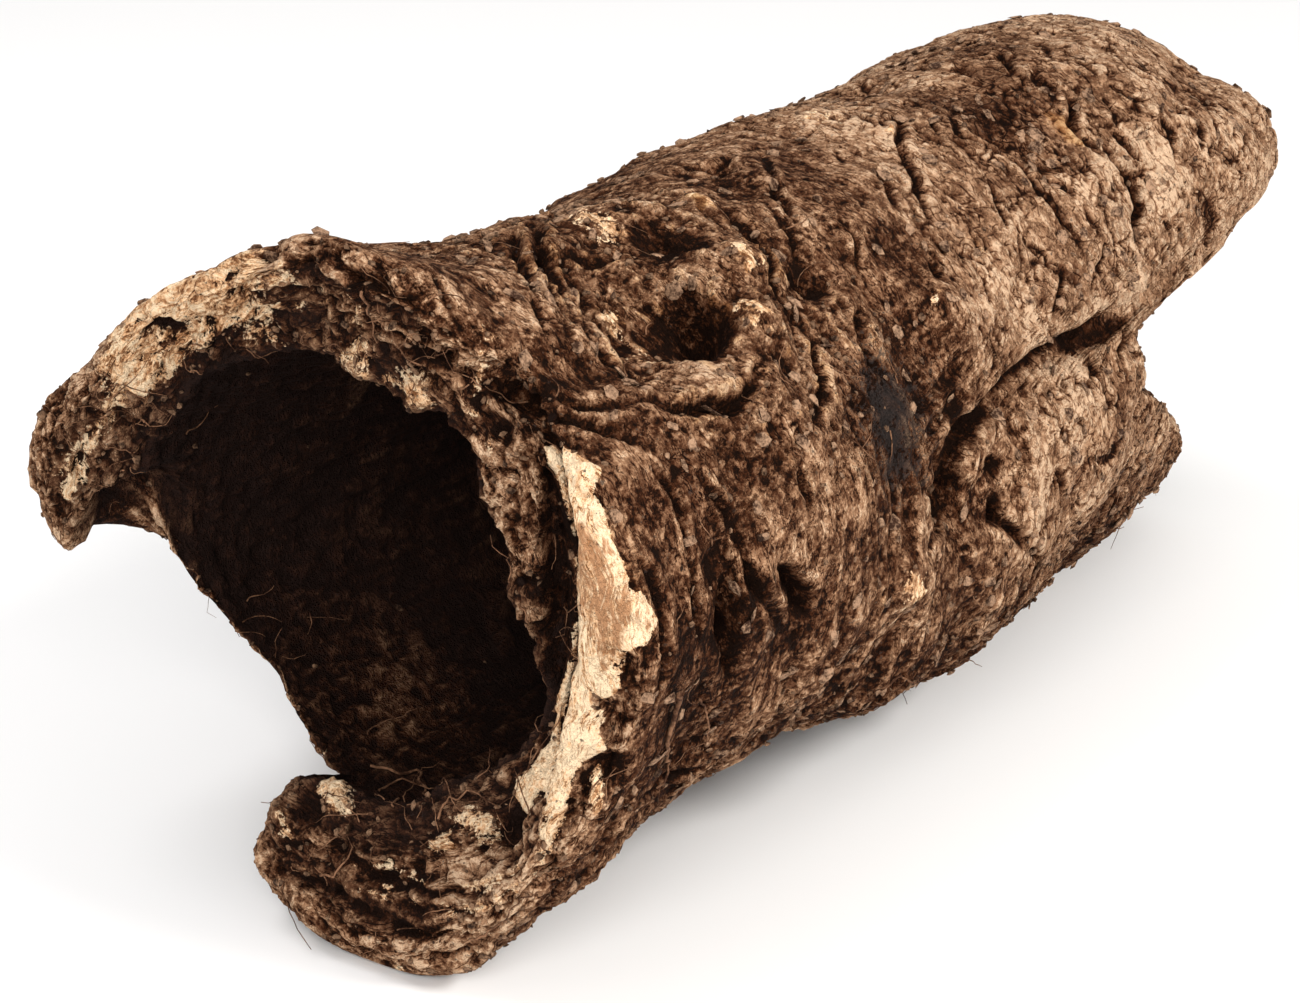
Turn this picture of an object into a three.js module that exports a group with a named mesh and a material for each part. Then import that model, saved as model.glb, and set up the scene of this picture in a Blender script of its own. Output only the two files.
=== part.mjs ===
// A hollow round of cork bark: the stripped bark of a limb, about 305 mm long, with one open end torn back
// to a thick layered lip, a knot hole in its flank and the other end broken off ragged.
// Millimetres, +Z up, the limb's axis along +X from the torn mouth to the ragged end.
// An angle a goes round the axis: 0 is the right flank (-Y), 90 the top, 180 the left flank, 270 the underside.
import * as THREE from "three";
import { ImprovedNoise } from "three/addons/math/ImprovedNoise.js";

// Mesh density: columns round the axis, and rows along each of the four surfaces.
const COLUMNS = 84;
const OUTER_ROWS = 46;
const LIP_ROWS = 10;
const INNER_ROWS = 11;
const END_ROWS = 4;

const STEP = 30; // degrees between the radii of a station

// Cross-sections of the outside: distance s from the mouth, centre, and radii every 30 degrees from a = 0.
const OUTSIDE = [
  { s: -8, y: 0, z: 84, r: [73, 73, 72, 74, 66, 72, 84, 80, 82, 84, 78, 72] },
  { s: 20, y: 0, z: 83, r: [74, 74, 72, 65, 65, 73, 81, 80, 82, 85, 78, 72] },
  { s: 35, y: 0, z: 82, r: [75, 74, 70, 60, 64, 72, 80, 80, 82, 82, 75, 71] },
  { s: 60, y: 0, z: 80, r: [75, 74, 69, 60, 60, 69, 77, 78, 80, 79, 71, 73] },
  { s: 85, y: 0, z: 78, r: [74, 73, 70, 62, 56, 64, 73, 75, 78, 76, 69, 74] },
  { s: 110, y: -1, z: 76, r: [74, 73, 70, 63, 58, 62, 70, 72, 75, 73, 69, 78] },
  { s: 135, y: -2, z: 75, r: [74, 72, 70, 65, 60, 61, 68, 70, 74, 72, 72, 79] },
  { s: 160, y: -3, z: 74, r: [73, 71, 70, 65, 61, 61, 66, 69, 73, 71, 75, 75] },
  { s: 185, y: -4, z: 73, r: [72, 70, 69, 65, 61, 60, 64, 68, 72, 71, 75, 70] },
  { s: 210, y: -4.5, z: 72.5, r: [70, 71, 70, 65, 61, 59, 62, 67, 71, 72, 75, 68] },
  { s: 235, y: -5, z: 72, r: [66, 72, 72, 66, 61, 58, 60, 66, 71, 72, 71, 67] },
  { s: 260, y: -5.5, z: 71.5, r: [56, 73, 72, 66, 60, 57, 59, 64, 70, 72, 68, 62] },
  { s: 280, y: -6, z: 71, r: [50, 71, 68, 64, 60, 56, 58, 62, 68, 71, 67, 54] },
  { s: 310, y: -6, z: 70, r: [46, 66, 60, 58, 57, 55, 56, 60, 66, 69, 58, 44] },
];

// Cross-sections of the hollow, in the same way.
const HOLLOW = [
  { s: 20, y: 0, z: 83, r: [56, 51, 45, 47, 50, 56, 62, 66, 68, 68, 58, 57] },
  { s: 60, y: 0, z: 80, r: [57, 50, 42, 41, 42, 50, 58, 64, 66, 64, 54, 55] },
  { s: 150, y: -3, z: 74, r: [52, 50, 47, 45, 42, 44, 48, 54, 58, 57, 56, 56] },
  { s: 235, y: -5, z: 72, r: [40, 50, 48, 44, 40, 40, 42, 48, 54, 55, 53, 48] },
  { s: 310, y: -6, z: 70, r: [30, 44, 42, 42, 40, 39, 40, 44, 50, 52, 44, 32] },
];

// The torn lip round the mouth, as points [s, r, turn] from the outside inwards: the outer edge, the inner side of
// the broken face, the bottom of the seam behind it, the two corners of the inner layer, and where the hollow
// begins. A turn moves a point round the axis by that many degrees: it curls the lip's lower end up.
const LIP = [
  { a: 0, line: [[0, 75], [-3, 58], [18, 53], [9, 49], [8, 33], [24, 50]] },
  { a: 14, line: [[0, 74], [-3, 60], [18, 55], [9, 50], [8, 33], [24, 49]] },
  { a: 28, line: [[2, 72], [-2, 65], [16, 59], [8, 55], [6, 34], [24, 49]] },
  { a: 40, line: [[8, 68], [5, 65], [14, 60], [7, 57], [4, 37], [24, 49]] },
  { a: 50, line: [[14, 65], [12, 62], [15, 59], [9, 56], [4, 44], [24, 48]] },
  { a: 60, line: [[10, 67], [6, 63], [6, 59], [4, 56], [5, 44], [22, 47]] },
  { a: 75, line: [[3, 73], [-2, 67], [2, 62], [2, 56], [7, 40], [20, 44]] },
  { a: 90, line: [[0, 75], [-5, 67], [3, 60], [5, 54], [8, 42], [20, 45]] },
  { a: 105, line: [[0, 71], [-6, 64], [3, 58], [6, 53], [8, 44], [20, 46]] },
  { a: 120, line: [[0, 68], [-6, 63], [3, 58], [6, 53], [8, 47], [20, 48]] },
  { a: 150, line: [[0, 72], [-5, 65], [3, 60], [5, 56], [8, 52], [22, 54]] },
  { a: 172, line: [[0, 86], [-5, 76], [2, 67], [4, 62], [8, 58], [24, 60]] },
  { a: 184.5, line: [[1, 83], [-2, 77], [0, 72], [5, 69], [10, 65], [28, 62]] },
  { a: 188.6, line: [[1, 80], [-1, 77], [4, 74], [12, 71], [18, 67], [32, 63]] },
  { a: 192.8, line: [[37, 77], [32, 75], [28, 73], [24, 70], [20, 67], [36, 65]] },
  { a: 200, line: [[42, 76], [37, 74], [33, 72], [29, 70], [25, 67], [40, 66]] },
  { a: 210, line: [[48, 76], [43, 74], [39, 72], [35, 70], [32, 67], [46, 67]] },
  { a: 221, line: [[52, 76], [47, 74], [43, 72], [39, 70], [36, 67], [50, 67]] },
  { a: 236, line: [[53, 77], [48, 75], [43, 73], [38, 70], [33, 67], [46, 67]] },
  { a: 248.7, line: [[50, 78], [45, 76], [40, 73], [35, 70], [30, 67], [42, 67]] },
  { a: 252.8, line: [[1, 75, -4.2], [-4, 68, -4.2], [-2, 61, -4.2], [2, 57, -4.2], [6, 53, -4.2], [17, 66, -1]] },
  { a: 258, line: [[-1, 80, -4], [-6, 70, -4], [-2, 61, -4], [1, 55, -4], [5, 50, -4], [16, 64, -1]] },
  { a: 268, line: [[-3, 84, -3], [-8, 73, -3], [-4, 62, -3], [0, 55, -3], [6, 50, -3], [17, 62, -1]] },
  { a: 280, line: [[-3, 87], [-8, 77], [-3, 64], [0, 56], [7, 49], [20, 59]] },
  { a: 290, line: [[-2, 86], [-8, 76], [-2, 63], [1, 55], [8, 46], [22, 55]] },
  { a: 302, line: [[-1, 79], [-6, 71], [0, 62], [4, 54], [9, 45], [24, 53]] },
  { a: 318, line: [[0, 73], [-4, 65], [6, 57], [9, 52], [11, 46], [26, 52]] },
  { a: 333, line: [[0, 71], [-4, 60], [14, 53], [13, 50], [13, 45], [28, 52]] },
  { a: 345, line: [[0, 72], [-3, 57], [18, 52], [12, 48], [11, 38], [28, 51]] },
];

// The ragged end round the axis: how far from the mouth it lies.
const END = [
  { a: 4, s: 211 },
  { a: 13, s: 207 },
  { a: 16, s: 238 },
  { a: 21, s: 266 },
  { a: 26, s: 289 },
  { a: 33, s: 305 },
  { a: 60, s: 301 },
  { a: 90, s: 300 },
  { a: 130, s: 291 },
  { a: 180, s: 296 },
  { a: 230, s: 286 },
  { a: 280, s: 295 },
  { a: 300, s: 296 },
  { a: 315, s: 284 },
  { a: 330, s: 260 },
  { a: 345, s: 236 },
  { a: 355, s: 222 },
];

// Lumps and hollows of the outer surface: where each lies, its reach along the axis and round it, and its height.
const LUMPS = [
  { s: 51, a: 59, along: 17, round: 19, height: -8 },
  { s: 51, a: 53, along: 8, round: 10, height: -10 },
  { s: 56, a: 79, along: 7, round: 8, height: 4 },
  { s: 71, a: 73, along: 5, round: 7, height: -5 },
  { s: 83, a: 77, along: 5, round: 7, height: 3 },
  { s: 82, a: 58, along: 6, round: 9, height: 5 },
  { s: 73, a: 44, along: 7, round: 9, height: 4 },
  { s: 96, a: 56, along: 7, round: 10, height: -4 },
  { s: 116, a: 85, along: 8, round: 5, height: -3 },
  { s: 70, a: 8, along: 28, round: 26, height: 4 },
  { s: 100, a: 352, along: 7, round: 11, height: 5 },
  { s: 115, a: 3, along: 5, round: 6, height: -7 },
  { s: 130, a: 358, along: 7, round: 5, height: -6 },
  { s: 133, a: 34, along: 10, round: 10, height: 2 },
  { s: 104, a: 325, along: 14, round: 8, height: 3 },
  { s: 178, a: 352, along: 24, round: 22, height: 3 },
  { s: 150, a: 75, along: 8, round: 5, height: 2 },
  { s: 190, a: 146, along: 15, round: 15, height: 6 },
  { s: 190, a: 146, along: 6, round: 6, height: -8 },
  { s: 90, a: 182, along: 26, round: 18, height: 4 },
  { s: 240, a: 196, along: 20, round: 16, height: 4 },
  { s: 140, a: 222, along: 18, round: 20, height: -3 },
  { s: 26, a: 290, along: 16, round: 9, height: 2 },
  { s: 76, a: 250, along: 16, round: 9, height: 4 },
  { s: 236, a: 286, along: 18, round: 9, height: 3 },
  { s: 232, a: 252, along: 18, round: 9, height: 5 },
];

// Creases and cracks of the outer surface, each a line of points [s, a] with a width and a depth.
const CREASES = [
  { line: [[14, 50], [25, 47], [36, 42], [45, 46]], width: 4, depth: 5 },
  { line: [[210, 15], [182, 16], [160, 15], [142, 14], [127, 11], [114, 4]], width: 5, depth: 5 },
  { line: [[28, 14], [28, 0], [27, 346], [31, 331]], width: 3.5, depth: 5 },
  { line: [[47, 6], [52, 352], [59, 340]], width: 3.5, depth: 3 },
  { line: [[113, 44], [117, 22], [117, 5], [122, 346], [128, 332]], width: 6, depth: 4 },
  { line: [[194, 66], [200, 52], [195, 40]], width: 3.5, depth: 3 },
  { line: [[238, 58], [231, 46], [224, 34]], width: 3.5, depth: 3 },
  { line: [[60, 124], [100, 131], [150, 120], [190, 112]], width: 5, depth: 4 },
  { line: [[34, 156], [80, 160], [128, 152], [170, 166], [232, 168], [280, 160]], width: 5, depth: 5 },
  { line: [[62, 206], [112, 200], [160, 212], [212, 206], [270, 216]], width: 5, depth: 5 },
  { line: [[96, 236], [150, 242], [200, 234]], width: 5, depth: 4 },
  { line: [[70, 300], [130, 296], [190, 302], [250, 306]], width: 5, depth: 4 },
];

const TURN = 360;
const LIP_REACH = 18; // how far the lip's shape carries on into the wall
const RADIUS = 70; // turns degrees round the axis into millimetres
const EDGE_FADE = 14; // relief is weaker than this close to the mouth
const noise = new ImprovedNoise();
const radians = THREE.MathUtils.degToRad;
const mix = THREE.MathUtils.lerp;

// Millimetres round the surface from angle b to angle a, the short way.
function arc(a, b) {
  return radians(((a - b + TURN * 1.5) % TURN) - TURN / 2) * RADIUS;
}

// Distance on the surface from (s, a) to a line of points.
function distanceToLine(line, s, a) {
  let least = Infinity;
  for (let i = 0; i + 1 < line.length; i++) {
    const [s0, a0] = line[i];
    const [ds, da] = [line[i + 1][0] - s0, arc(line[i + 1][1], a0)];
    const [ps, pa] = [s - s0, arc(a, a0)];
    const t = THREE.MathUtils.clamp((ps * ds + pa * da) / (ds * ds + da * da), 0, 1);
    least = Math.min(least, Math.hypot(ps - t * ds, pa - t * da));
  }
  return least;
}

// Seeded roughness: smooth waves of the given size, from -1 to 1.
function waves(p, size, shift) {
  return noise.noise(p.x / size + shift, p.y / size + shift, p.z / size - shift);
}

// How far the outer surface stands out at (s, a).
function relief(p, s, a) {
  let height = 2.6 * waves(p, 26, 3.7) + 1.6 * waves(p, 12, 8.1);
  for (const e of LUMPS) {
    height += e.height * Math.exp(-(((s - e.s) / e.along) ** 2) - (arc(a, e.a) / e.round) ** 2);
  }
  for (const e of CREASES) {
    height -= e.depth * Math.exp(-((distanceToLine(e.line, s, a) / e.width) ** 2));
  }
  return height;
}

// A smooth curve through four neighbouring values, at t from 0 to 1 between b and c.
function catmullRom(a, b, c, d, t) {
  const m0 = (c - a) / 2;
  const m1 = (d - b) / 2;
  const t2 = t * t;
  const t3 = t2 * t;
  return (2 * t3 - 3 * t2 + 1) * b + (t3 - 2 * t2 + t) * m0 + (3 * t2 - 2 * t3) * c + (t3 - t2) * m1;
}

// A station's radius at angle a.
function stationRadius(radii, a) {
  const n = radii.length;
  const place = (((a % TURN) + TURN) % TURN) / STEP;
  const i = Math.floor(place);
  const at = (k) => radii[(i + k + n) % n];
  return catmullRom(at(-1), at(0), at(1), at(2), place - i);
}

// Centre and radius of a list of sections at distance s and angle a.
function section(list, s, a) {
  let i = 0;
  while (i < list.length - 2 && list[i + 1].s < s) i++;
  const [p, q] = [list[i], list[i + 1]];
  const [before, after] = [list[Math.max(0, i - 1)], list[Math.min(list.length - 1, i + 2)]];
  const t = THREE.MathUtils.clamp((s - p.s) / (q.s - p.s), 0, 1);
  const blend = (f) => catmullRom(f(before), f(p), f(q), f(after), t);
  return {
    y: blend((e) => e.y),
    z: blend((e) => e.z),
    r: blend((e) => stationRadius(e.r, a)),
  };
}

// The two rows of a list that goes round the axis on either side of angle a, and how far a lies between them.
function neighbours(list, a) {
  const turned = ((a % TURN) + TURN) % TURN;
  let i = list.length - 1;
  while (i > 0 && list[i].a > turned) i--;
  const [before, after] = [list[i], list[(i + 1) % list.length]];
  const t = (turned - before.a) / ((after.a - before.a + TURN) % TURN);
  return { before, after, t: t * t * (3 - 2 * t) };
}

function place(centre, r, s, a) {
  return new THREE.Vector3(s, centre.y - r * Math.cos(radians(a)), centre.z + r * Math.sin(radians(a)));
}

// The points [s, r, turn] of the torn lip at angle a.
function lipLine(a) {
  const { before, after, t } = neighbours(LIP, a);
  return before.line.map(([s, r, turn = 0], i) => {
    const [s1, r1, turn1 = 0] = after.line[i];
    return [mix(s, s1, t), mix(r, r1, t), mix(turn, turn1, t)];
  });
}

// A surface that joins the lip at the point [s, r, turn] and runs into the sections of a list away from it.
function joined(list, [lipS, lipR, lipTurn], a) {
  const gap = lipR - section(list, lipS, a).r;
  return (s) => {
    const c = section(list, s, a);
    const near = Math.exp(-(((s - lipS) / LIP_REACH) ** 2));
    return { ...c, r: c.r + gap * near, turn: lipTurn * near };
  };
}

// The closed line that bounds the wall at angle a: out along the outside, round the ragged end,
// back through the hollow, and round the torn lip.
function wallLine(a) {
  const line = [];
  const lip = lipLine(a);
  const [start, back] = [lip[0], lip[lip.length - 1]];
  const end = neighbours(END, a);
  const far = mix(end.before.s, end.after.s, end.t);
  const outside = joined(OUTSIDE, start, a);
  const hollow = joined(HOLLOW, back, a);
  for (let i = 0; i < OUTER_ROWS; i++) {
    const s = mix(start[0], far, i / (OUTER_ROWS - 1));
    const c = outside(s);
    const fade = 0.3 + 0.7 * Math.min(1, (s - start[0]) / EDGE_FADE);
    line.push(place(c, c.r + fade * relief(place(c, c.r, s, a), s, a), s, a + c.turn));
  }
  const [endOut, endIn] = [outside(far), hollow(far)];
  for (let i = 1; i <= END_ROWS; i++) {
    const t = i / (END_ROWS + 1);
    const p = place(endOut, mix(endOut.r, endIn.r, t), far, a);
    p.x += 3 * Math.sin(Math.PI * t) + 3 * waves(p, 14, 5.3);
    line.push(p);
  }
  for (let i = 0; i < INNER_ROWS; i++) {
    const s = mix(back[0], far, (1 - i / (INNER_ROWS - 1)) ** 1.4);
    const c = hollow(s);
    line.push(place(c, c.r + 2.4 * waves(place(c, c.r, s, a), 22, 1.9), s, a + c.turn));
  }
  const centre = section(OUTSIDE, start[0], a);
  for (let i = 1; i <= LIP_ROWS; i++) {
    const at = (1 - i / (LIP_ROWS + 1)) * (lip.length - 1);
    const k = Math.min(lip.length - 2, Math.floor(at));
    const [s, r, turn] = lip[k].map((value, j) => mix(value, lip[k + 1][j], at - k));
    const p = place(centre, r, s, a + turn);
    p.x += 2.4 * waves(p, 11, 6.4);
    line.push(p);
  }
  return line;
}

function barkGeometry() {
  const positions = [];
  const index = [];
  let rows = 0;
  for (let column = 0; column < COLUMNS; column++) {
    const line = wallLine((column * TURN) / COLUMNS);
    rows = line.length;
    line.forEach((p) => positions.push(p.x, p.y, Math.max(0, p.z)));
  }
  for (let column = 0; column < COLUMNS; column++) {
    const next = ((column + 1) % COLUMNS) * rows;
    for (let row = 0; row < rows; row++) {
      const [a, b] = [column * rows + row, column * rows + ((row + 1) % rows)];
      const [c, d] = [next + row, next + ((row + 1) % rows)];
      index.push(a, b, d, a, d, c);
    }
  }
  const geometry = new THREE.BufferGeometry();
  geometry.setAttribute("position", new THREE.Float32BufferAttribute(positions, 3));
  geometry.setIndex(index);
  geometry.computeBoundingBox();
  const { min, max } = geometry.boundingBox;
  geometry.translate(-(min.x + max.x) / 2, -(min.y + max.y) / 2, 0);
  geometry.computeVertexNormals();
  return geometry;
}

const bark = new THREE.Mesh(
  barkGeometry(),
  new THREE.MeshStandardMaterial({ color: 0x6f5540, roughness: 0.95, metalness: 0 }),
);
bark.name = "bark";

const group = new THREE.Group();
group.add(bark);
export default group;
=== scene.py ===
"""A hollow round of cork bark with a torn lip, a knot hole and a ragged far end.

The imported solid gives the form. Here it gets a dense skin with the crust, plates, cracks, pits and torn
layers of old cork bark, rootlets and crumbs that cling to it, and materials made of nodes. Lengths are
millimetres until a mesh is made, and metres in Blender.
"""
import itertools
import math

import bmesh
import bpy
import numpy as np
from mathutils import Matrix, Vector
from mathutils.bvhtree import BVHTree


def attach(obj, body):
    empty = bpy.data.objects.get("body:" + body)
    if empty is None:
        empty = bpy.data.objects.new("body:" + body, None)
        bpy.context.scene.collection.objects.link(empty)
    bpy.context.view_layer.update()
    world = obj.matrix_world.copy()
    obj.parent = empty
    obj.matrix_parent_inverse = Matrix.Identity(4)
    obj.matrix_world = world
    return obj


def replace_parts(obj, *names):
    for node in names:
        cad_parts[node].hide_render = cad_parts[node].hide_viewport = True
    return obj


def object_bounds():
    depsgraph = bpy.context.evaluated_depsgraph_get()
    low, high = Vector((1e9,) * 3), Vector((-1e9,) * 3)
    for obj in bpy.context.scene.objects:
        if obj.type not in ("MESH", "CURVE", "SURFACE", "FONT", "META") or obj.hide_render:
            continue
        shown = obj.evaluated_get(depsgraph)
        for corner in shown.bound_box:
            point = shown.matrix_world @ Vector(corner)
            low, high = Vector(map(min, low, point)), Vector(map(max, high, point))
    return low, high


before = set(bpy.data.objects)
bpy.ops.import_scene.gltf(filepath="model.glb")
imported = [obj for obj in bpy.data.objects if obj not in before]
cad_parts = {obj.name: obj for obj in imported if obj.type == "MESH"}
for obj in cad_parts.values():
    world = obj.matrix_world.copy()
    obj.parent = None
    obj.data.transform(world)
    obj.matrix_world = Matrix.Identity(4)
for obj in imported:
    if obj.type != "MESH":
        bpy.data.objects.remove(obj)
cad_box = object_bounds()
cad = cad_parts["bark"]
MM = 0.001
FAR = 1e9

# The photograph's view: the camera's place and directions, and its focal length in the photograph's pixels.
PHOTO_WIDTH = 1300
PHOTO_HEIGHT = 1003
FOCAL_PIXELS = 3600
SENSOR_MM = 36.0
CAMERA_PLACE = np.array((-653.2, -423.0, 386.8))
CAMERA_DISTANCE = 830.0
CAMERA_RIGHT = np.array((0.564967, -0.825113, 0.0))
CAMERA_UP = np.array((0.330333, 0.226184, 0.916363))
CAMERA_BACK = np.array((-0.756103, -0.517715, 0.400349))

# The hollow's axis: distance from the mouth, and the axis there, in the part's millimetres.
MOUTH_X = -150.06
AXIS_SHIFT_Y = -2.88
AXIS = (
    (-8, 0, 84), (20, 0, 83), (60, 0, 80), (110, -1, 76),
    (160, -3, 74), (210, -4.5, 72.5), (260, -5.5, 71.5), (310, -6, 70),
)


# Seeded noise on arrays of points

_random = np.random.RandomState(17)
TURNS = np.tile(_random.permutation(256), 3)
SLOPES = _random.normal(size=(256, 3)).astype(np.float32)
SLOPES /= np.linalg.norm(SLOPES, axis=1)[:, None]
SPOTS = _random.uniform(size=(256, 3)).astype(np.float32)
SPREAD = 0.9  # how far a spot may lie from the middle of its cell


def smooth(value, low, high):
    """0 below low and 1 above high, with a soft change between."""
    t = np.clip((value - low) / (high - low), 0, 1)
    return t * t * (3 - 2 * t)


def lattice(points, size, shift):
    """The lattice cell of each point and its place in the cell, for cells of the given size."""
    q = points / np.asarray(size, np.float32) + np.float32(shift)
    cell = np.floor(q)
    return cell.astype(np.int32) & 255, (q - cell).astype(np.float32)


def noise(points, size, shift=0.0):
    """Gradient noise from about -1 to 1. A size of three numbers stretches it along the axes."""
    cell, f = lattice(points, size, shift)
    fade = f * f * f * (f * (f * 6 - 15) + 10)
    total = np.zeros(len(points), np.float32)
    for dx, dy, dz in itertools.product((0, 1), repeat=3):
        pick = TURNS[TURNS[TURNS[cell[:, 0] + dx] + cell[:, 1] + dy] + cell[:, 2] + dz]
        slope = SLOPES[pick]
        value = slope[:, 0] * (f[:, 0] - dx) + slope[:, 1] * (f[:, 1] - dy) + slope[:, 2] * (f[:, 2] - dz)
        for k, d in enumerate((dx, dy, dz)):
            value *= fade[:, k] if d else 1 - fade[:, k]
        total += value
    return total * 1.7


def layers(points, size, shift=0.0, count=3, keep=0.5):
    """Noise at several sizes, each half as large and weaker than the one before."""
    total = np.zeros(len(points), np.float32)
    weight = 1.0
    for k in range(count):
        total += weight * noise(points, np.asarray(size) / 2**k, shift + 7.3 * k)
        weight *= keep
    return total


def cells(points, size, shift=0.0):
    """Distance to the nearest and second nearest of seeded spots, the nearest one's number and its slope."""
    q = points / np.asarray(size, np.float32) + np.float32(shift)
    base = np.floor(q)
    f = (q - base).astype(np.float32)
    base = base.astype(np.int32) & 255
    nearest = np.full(len(points), 9.0, np.float32)
    second = nearest.copy()
    owner = np.zeros(len(points), np.int32)
    lean = np.zeros(len(points), np.float32)
    half = np.float32(0.5)
    for offset in itertools.product((-1, 0, 1), repeat=3):
        c = (base + offset) & 255
        pick = TURNS[TURNS[TURNS[c[:, 0]] + c[:, 1]] + c[:, 2]]
        away = f - (half + np.asarray(offset, np.float32) + SPREAD * (SPOTS[pick] - half))
        d = np.sqrt((away * away).sum(1))
        closer = d < nearest
        second = np.where(closer, nearest, np.minimum(second, d))
        nearest = np.where(closer, d, nearest)
        owner = np.where(closer, pick, owner)
        lean = np.where(closer, (away * SLOPES[pick]).sum(1), lean)
    return nearest, second, owner / 255.0, lean


# The photograph's pixels and the part's surface


def to_pixels(points):
    """The photograph's pixel and the depth of each point."""
    away = points - CAMERA_PLACE
    depth = -(away @ CAMERA_BACK)
    x = PHOTO_WIDTH / 2 + FOCAL_PIXELS * (away @ CAMERA_RIGHT) / depth
    y = PHOTO_HEIGHT / 2 - FOCAL_PIXELS * (away @ CAMERA_UP) / depth
    return x, y, depth


def pixel_direction(x, y):
    """The direction in which the camera sees a pixel of the photograph."""
    across = (x - PHOTO_WIDTH / 2) / FOCAL_PIXELS
    down = (y - PHOTO_HEIGHT / 2) / FOCAL_PIXELS
    line = CAMERA_RIGHT * across - CAMERA_UP * down - CAMERA_BACK
    return line / np.linalg.norm(line)


def surface_finder(points, faces):
    """A function that gives the place on a surface which the camera sees at a pixel."""
    tree = BVHTree.FromPolygons(points.tolist(), faces.tolist())

    def find(x, y):
        line = pixel_direction(x, y)
        hit = tree.ray_cast(Vector(CAMERA_PLACE), Vector(line))[0]
        if hit is None:
            beside = CAMERA_PLACE + line * CAMERA_DISTANCE
            hit = tree.find_nearest(Vector(beside))[0]
        return np.array(hit)

    return find


def round_the_axis(points):
    """Distance from the mouth, angle in degrees, distance from the axis and outward direction."""
    table = np.array(AXIS, float)
    s = points[:, 0] - MOUTH_X
    y = points[:, 1] - np.interp(s, table[:, 0], table[:, 1]) - AXIS_SHIFT_Y
    z = points[:, 2] - np.interp(s, table[:, 0], table[:, 2])
    r = np.maximum(np.hypot(y, z), 1e-3)
    outward = np.stack([np.zeros(len(points)), y / r, z / r], 1)
    return s, np.degrees(np.arctan2(z, -y)) % 360, r, outward


# Camera, light and floor


def added(name, data):
    """A new object of the scene."""
    made = bpy.data.objects.new(name, data)
    bpy.context.scene.collection.objects.link(made)
    return made


def make_camera():
    data = bpy.data.cameras.new("photo_view")
    data.lens = FOCAL_PIXELS / PHOTO_WIDTH * SENSOR_MM
    data.sensor_width = SENSOR_MM
    data.clip_start = 0.01
    data.clip_end = 50
    camera = added("photo_view", data)
    camera.location = Vector(CAMERA_PLACE * MM)
    camera.rotation_mode = "QUATERNION"
    camera.rotation_quaternion = Vector(-CAMERA_BACK).to_track_quat("-Z", "Y")
    bpy.context.scene.camera = camera


def make_light(name, place, aim, size, power, colour):
    data = bpy.data.lights.new(name, "AREA")
    data.shape = "DISK"
    data.size = size
    data.energy = power
    data.color = colour
    light = added(name, data)
    light.location = place
    light.rotation_mode = "QUATERNION"
    light.rotation_quaternion = (Vector(aim) - Vector(place)).to_track_quat("-Z", "Y")


def make_studio():
    make_light("key", (0.15, -1.15, 0.95), (0.03, 0, 0.08), 0.45, 17, (1.0, 0.98, 0.95))
    make_light("front", (-1.1, -0.55, 0.7), (0, 0, 0.07), 0.8, 13, (1.0, 0.98, 0.96))
    make_light("top", (-0.4, 0.5, 1.3), (0, 0, 0.07), 0.7, 8, (0.98, 0.98, 1.0))
    world = bpy.data.worlds.new("room")
    world.use_nodes = True
    sky = world.node_tree.nodes["Background"]
    sky.inputs["Color"].default_value = (1.0, 1.0, 1.0, 1)
    sky.inputs["Strength"].default_value = 0.55
    bpy.context.scene.world = world
    bpy.context.scene.view_settings.view_transform = "Standard"


def make_floor():
    half = 6.0
    corners = [(-half, -half, 0), (half, -half, 0), (half, half, 0), (-half, half, 0)]
    mesh = bpy.data.meshes.new("floor")
    mesh.from_pydata(corners, [], [(0, 1, 2, 3)])
    floor = added("floor", mesh)
    material = bpy.data.materials.new("floor")
    material.use_nodes = True
    shader = material.node_tree.nodes["Principled BSDF"]
    shader.inputs["Base Color"].default_value = (0.86, 0.855, 0.85, 1)
    shader.inputs["Roughness"].default_value = 0.9
    mesh.materials.append(material)


make_camera()
make_studio()
make_floor()


# The dense skin

PIECES = ("bark_mouth", "bark_knot", "bark_waist", "bark_trunk", "bark_hollow")
MOUTH, KNOT, WAIST, TRUNK, HOLLOW = range(5)
KNOT_FROM = 34  # distances from the mouth where one piece ends and the next begins
WAIST_FROM = 116
TRUNK_FROM = 222
LEVELS = 3  # each level cuts a face in four


def read(items, key, kind, width=1):
    """One array of what each of a mesh's vertices, corners or faces holds under a key."""
    values = np.empty(len(items) * width, kind)
    items.foreach_get(key, values)
    return values.reshape(-1, width) if width > 1 else values


def mesh_arrays(mesh):
    """Vertices in millimetres, faces' corners and faces' piece numbers of a mesh of quads."""
    places = read(mesh.vertices, "co", np.float32, 3).astype(float) / MM
    corners = read(mesh.loops, "vertex_index", np.int32).reshape(-1, 4)
    return places, corners, read(mesh.polygons, "material_index", np.int32)


def vertex_normals(places, quads):
    """Smooth normals, from the two diagonals of each quad."""
    across = places[quads[:, 2]] - places[quads[:, 0]]
    along = places[quads[:, 3]] - places[quads[:, 1]]
    face = np.cross(across, along)
    normals = np.zeros_like(places)
    for corner in range(4):
        for axis in range(3):
            normals[:, axis] += np.bincount(quads[:, corner], face[:, axis], len(places))
    return normals / np.maximum(np.linalg.norm(normals, axis=1), 1e-12)[:, None]


def blurred(values, quads, rounds):
    """Values at the vertices, averaged with their neighbours so many times."""
    a = quads.ravel()
    b = np.roll(quads, -1, axis=1).ravel()
    n = len(values)
    links = np.bincount(a, minlength=n) + np.bincount(b, minlength=n)
    for _ in range(rounds):
        values = (np.bincount(a, values[b], n) + np.bincount(b, values[a], n)) / links
    return values


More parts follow.
